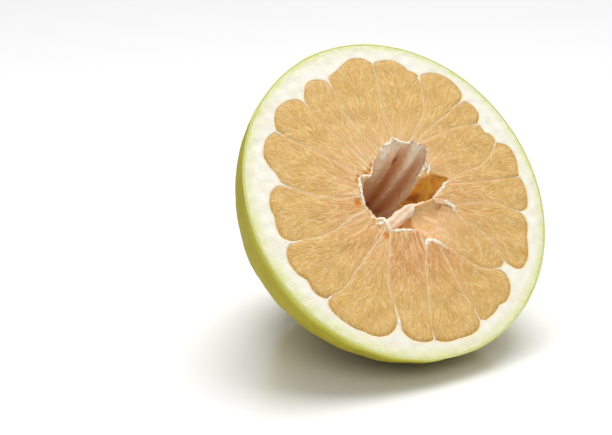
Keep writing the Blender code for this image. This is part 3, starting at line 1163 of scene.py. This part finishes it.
def buildLining():
    inner, lip, outer = lining["rows"]
    shape, flat = wrapped(lining["columns"], sum(lining["rows"]))
    turn = 180 * flat[:, 0]
    angle = np.radians(turn)
    row = np.rint((flat[:, 1] + 1) / 2 * sum(lining["rows"]))
    up = np.clip(row / inner, 0, 1)                       # 0 at the bottom, 1 at the rim
    over = np.clip((row - inner) / lip, 0, 1)
    down = np.clip((row - inner - lip) / outer, 0, 1)
    inside = row <= inner
    depth = np.where(inside, hollow["depth"] * (1 - up) ** 1.25, down * hollow["depth"])
    rim = rimRadius(turn)
    deep = hollowRadius(depth)
    radius = rim + (deep - rim) * smoothStep(0, lining["settle"], depth)
    narrow = deep / hollow["radius"]
    fold, groove, ridge = foldsAt(turn, depth, narrow)
    solid = np.column_stack([deep * np.cos(angle), deep * np.sin(angle), depth * 0.3])
    crease = uneven(solid, *lining["crease"]) * smoothStep(0, 2, depth) * narrow
    bumpy = fold + crease - lining["slitDepth"] * np.exp(-slitGap(turn, depth) ** 2)
    radius = np.where(inside | (down == 0), radius - bumpy, radius)
    radius += np.where(inside, 0, lining["lip"] * np.sin(over * math.pi / 2))
    radius = np.where((up == 0) | (down == 1), 0, np.maximum(radius, 0.3))
    x, y = hollowX + radius * np.cos(angle), hollowY + radius * np.sin(angle)
    faceTurn = np.mod(roundOf(x, y)[1], 360)
    under = band(*lining["underSlope"], faceTurn)
    ragged = uneven(np.column_stack([rim * np.cos(angle), rim * np.sin(angle)]), *lining["ragged"])
    lipTop = lining["proud"] + ragged - under * lining["slopeClear"]
    height = -depth + lipTop * (1 - smoothStep(0, 10, depth)) + 0.25 * np.sin(over * math.pi)
    height -= np.where(down == 1, 1.5, 0)
    colours = liningColours(turn, depth, groove, ridge, under)
    return finished("core_lining", shape, np.column_stack([x, y, height]), **colours)


def liningPatterns(tree, patterns):
    share, yellow, orange = lining["orange"]
    mottle = times(tree, patterns["mottle"], share)
    return {"orange": blendColour(tree, mottle, tint(*yellow), tint(*orange))}


foldedSkin = newMaterial("foldedSkin", lining, liningPatterns)
placed(buildLining(), foldedSkin)
print("lining ready")

# Loose strands: one thick bent one across the hollow, and white fibres along its edge
strands = {
    # points are (x, y, height, half width), all in millimetres
    "thick": (
        (11.2, -4.0, -5.0, 0.5), (8.2, -4.9, -4.6, 1.9), (5.0, -5.9, -4.4, 2.8), (1.2, -7.4, -4.5, 3.1),
        (-4.1, -9.7, -4.5, 3.4), (-10.6, -12.6, -3.0, 3.6),
    ),
    "grid": (36, 60),                # its faces around and along
    "flatten": 0.5,
    "wobble": 0.10,
    "grooves": 0.18,                 # depth of the creases along it, as a share of its half width
    "fibreGrid": (14, 36),
    "fibreWobble": 0.3,
    "fibreSway": (0.25, 2.5, 71),
    "fibreLift": (0.2, 1.6, 73),
}

# Fibres on the hollow's edge, as points (x, y, height, half width): x and y in shares of the radius, the
# others in millimetres
fibres = (
    ((-0.222, 0.176, 0, 0.4), (-0.240, 0.114, 0, 0.7), (-0.250, 0.054, 0, 0.8), (-0.256, -0.012, 0, 0.4)),
    ((-0.225, 0.172, 0, 0.3), (-0.180, 0.170, 0, 0.6), (-0.138, 0.165, 0, 0.2)),
    ((-0.228, -0.096, 0, 0.3), (-0.168, -0.108, 0, 1.0), (-0.148, -0.156, 0, 1.0), (-0.144, -0.190, 0, 0.5)),
    ((-0.240, -0.120, 0, 0.4), (-0.198, -0.130, 0, 1.0), (-0.168, -0.122, 0, 0.4)),
    ((-0.146, -0.189, 0, 0.4), (-0.066, -0.197, 0, 0.7), (0.030, -0.215, 0, 0.3)),
    ((-0.024, 0.342, 0, 0.2), (0.026, 0.336, 0, 0.6), (0.066, 0.342, 0, 0.8), (0.088, 0.376, 0, 0.3)),
    ((0.088, 0.374, 0, 0.3), (0.114, 0.348, 0, 0.7), (0.150, 0.326, 0, 0.6), (0.216, 0.321, 0, 0.25)),
    ((0.270, 0.190, 0, 0.3), (0.268, 0.140, 0, 0.6), (0.244, 0.112, -0.3, 0.3)),
    ((0.215, -0.048, -0.3, 0.3), (0.288, -0.009, 0, 0.5), (0.320, 0.012, 0, 0.8), (0.366, 0.036, 0, 0.3)),
    ((0.218, -0.05, -0.4, 0.3), (0.262, -0.064, -0.3, 0.5), (0.312, -0.098, 0, 0.8),
     (0.346, -0.122, 0, 0.4)),
    ((0.322, -0.100, 0, 0.4), (0.334, -0.126, 0, 0.6), (0.344, -0.156, 0, 0.25)),
    ((-0.018, 0.338, 0, 0.3), (-0.014, 0.310, 0, 0.7), (-0.008, 0.290, 0, 0.3)),
    ((0.040, -0.372, 0, 0.3), (0.066, -0.306, 0, 0.9), (0.090, -0.294, 0, 1.3), (0.134, -0.310, 0, 1.1),
     (0.176, -0.346, 0, 0.6), (0.206, -0.392, 0, 0.2)),
    ((0.110, -0.056, -4.6, 0.4), (0.150, -0.053, -4.2, 0.45), (0.190, -0.052, -3.6, 0.4)),
)


def alongPath(points, share):
    # a smooth path through the points; share runs from 0 to 1
    stops = np.linspace(0, 1, len(points))
    return np.column_stack([smoothRun(share, list(zip(stops, column))) for column in zip(*points)])


def tubeCoords(points, flat, wobble, seed, grooves=0):
    share = (flat[:, 1] + 1) / 2
    turn = math.pi * flat[:, 0]
    line = alongPath(points, share)
    ahead = alongPath(points, np.minimum(share + 0.01, 1)) - alongPath(points, np.maximum(share - 0.01, 0))
    heading = ahead[:, :3] / np.linalg.norm(ahead[:, :3], axis=1)[:, None]
    sideways = np.column_stack([-heading[:, 1], heading[:, 0], np.zeros(len(share))])
    sideways /= np.linalg.norm(sideways, axis=1)[:, None]
    upward = np.cross(heading, sideways)
    taper = np.sqrt(np.clip(1 - np.abs(2 * share - 1) ** 6, 0, 1))
    span = line[:, 3] * taper * (1 + wobble * ripple(np.column_stack([turn, line[:, 0] / 3]), 2.0, seed))
    thick = span * strands["flatten"] * (1 + grooves * np.cos(5 * turn + 2 * share))
    return (
        line[:, :3]
        + sideways * (span * np.cos(turn))[:, None]
        + upward * (thick * np.sin(turn))[:, None]
    )


def buildStrand():
    shape, flat = wrapped(*strands["grid"])
    coords = tubeCoords(strands["thick"], flat, strands["wobble"], 61, strands["grooves"])
    share = (1 - flat[:, 1]) / 2
    # whiter toward one end as a painted highlight, and darker toward the other as painted shade (deep)
    white = 0.1 + 0.55 * smoothStep(0.6, 0.95, share)
    return finished("core_strand", shape, coords, ridge=0.85, deep=0.75 - 0.5 * share, lip=white)


def buildFibre(number, points):
    line = [(x * reachMm, y * reachMm, height, half) for x, y, height, half in points]
    shape, flat = wrapped(*strands["fibreGrid"])
    coords = tubeCoords(line, flat, strands["fibreWobble"], 70 + number)
    coords[:, :2] += stirred(coords[:, :2], *strands["fibreSway"])
    coords[:, 2] += uneven(coords[:, :2], strands["fibreLift"])
    return finished("fibre_%d" % (number + 1), shape, coords, lip=1)


placed(buildStrand(), foldedSkin)
for number, points in enumerate(fibres):
    placed(buildFibre(number, points), foldedSkin)
print("strands ready")

# The scar where the stem was, at the hidden end
stem = {
    "radius": 4.6,
    "rise": 1.1,
    "sink": 2.2,
    "ring": (0.25, 9),               # height and number of the raised rings
    "rings": 16,
    "steps": 64,
    "lobes": 5,
    "lobeReach": 1.5,
    "rough": (0.12, 2.0, 81),
    "overDimple": 0.1,
    "noises": {"blotch": (0.0015, 0.3, 0.7, 4)},
    "under": (112, 92, 48),
    "layers": (("blotch", 1, (160, 142, 88)),),
    "bumps": (("blotch", 0.0004, 0.7),),
    "finish": {"Roughness": 0.8},
}


def buildStem():
    radius, sink = stem["radius"], stem["sink"]
    wave, count = stem["ring"]
    profile = [(0, stem["rise"])]
    for k in range(1, stem["rings"] + 1):
        share = k / stem["rings"]
        profile.append((radius * share, stem["rise"] * (1 - share**3) + wave * math.sin(share * count)))
    profile += [(radius * 1.02, -sink), (0, -sink)]
    piece, coords, away, direction = turned("stem_button", profile, stem["steps"])
    lobe = 0.5 + 0.5 * np.cos(stem["lobes"] * np.radians(direction))
    grown = 1 + smoothStep(0.55 * radius, radius, away) * (stem["lobeReach"] / radius) * lobe
    coords[:, :2] *= grown[:, None]
    coords[:, 2] += uneven(coords[:, :2], stem["rough"])
    coords[:, 1:] *= -1                                   # turned over, to face away from the cut
    coords[:, 2] -= outsideRows(4, 4, 4)[-1][1] - rind["dimpleDepth"] - stem["overDimple"]
    setCoords(piece.data, coords)
    return piece


placed(buildStem(), newMaterial("dryStem", stem))
print("stem ready")

# The stage
studio = {
    "azimuth": -31.8,
    "elevation": 20,
    "lens": 89.8,
    "distance": 9.0,                 # camera to the cut face, as shares of the cut radius
    "aside": 0.557,                  # and how far the fruit is from the middle of the view
    "above": 0.120,
    "sky": (0.12, 0.5),              # brightness near the floor and overhead
    "floorHalf": 4,
    "floorDrop": 0.0002,
    # soft square lights, as (name, place, size, power), all aimed at the fruit
    "lights": (("overhead", (0.5, 0.5, 2.6), 2.2, 83), ("front", (-0.45, -0.9, 0.95), 0.5, 3.0)),
    "aim": (0, 0, 0.06),
}
paleFloor = {
    "noises": {},
    "under": (241, 241, 241),
    "layers": (),
    "bumps": (),
    "finish": {"Roughness": 0.12, "IOR": 1.8},
}


def buildCamera():
    turn, rise = math.radians(studio["azimuth"]), math.radians(studio["elevation"])
    back = Vector((math.sin(turn) * math.cos(rise), -math.cos(turn) * math.cos(rise), math.sin(rise)))
    right = Vector((math.cos(turn), math.sin(turn), 0))
    up = back.cross(right)
    offset = studio["aside"] * right + studio["above"] * up - studio["distance"] * back
    place = faceMiddle - cutRadius * offset
    camera = bpy.data.cameras.new("camera")
    camera.lens = studio["lens"]
    camera.sensor_width = 36
    camera.clip_start = 0.01
    viewer = bpy.data.objects.new("camera", camera)
    viewer.matrix_world = Matrix.Translation(place) @ Matrix((right, up, back)).transposed().to_4x4()
    bpy.context.scene.collection.objects.link(viewer)
    bpy.context.scene.camera = viewer


def buildFloor():
    shape = bmesh.new()
    bmesh.ops.create_grid(shape, x_segments=1, y_segments=1, size=studio["floorHalf"])
    floor = pieceFrom("floor", shape)
    floor.location.z = -studio["floorDrop"]
    floor.data.materials.append(newMaterial("paleFloor", paleFloor))


def buildLights():
    # the room is brighter overhead than near the floor, so the fruit has a soft dark shadow under it
    world = bpy.data.worlds.new("room")
    world.use_nodes = True
    tree = world.node_tree
    sky = tree.nodes["Background"]
    plug(tree, (1, 1, 1, 1), sky.inputs["Color"])
    height = node(tree, "ShaderNodeSeparateXYZ")
    plug(tree, node(tree, "ShaderNodeTexCoord").outputs["Generated"], height.inputs["Vector"])
    glow = spread(tree, height.outputs["Z"], 0, 0.5, *studio["sky"])
    seen = node(tree, "ShaderNodeLightPath").outputs["Is Camera Ray"]
    plug(tree, times(tree, glow, seen, "MAXIMUM"), sky.inputs["Strength"])
    bpy.context.scene.world = world
    for name, place, size, power in studio["lights"]:
        light = bpy.data.lights.new(name, "AREA")
        light.size = size
        light.energy = power
        lamp = bpy.data.objects.new(name, light)
        lamp.location = place
        lamp.rotation_euler = (Vector(studio["aim"]) - Vector(place)).to_track_quat("-Z", "Y").to_euler()
        bpy.context.scene.collection.objects.link(lamp)


buildCamera()
buildFloor()
buildLights()
bpy.context.scene.view_settings.view_transform = "Standard"
print("stage ready")
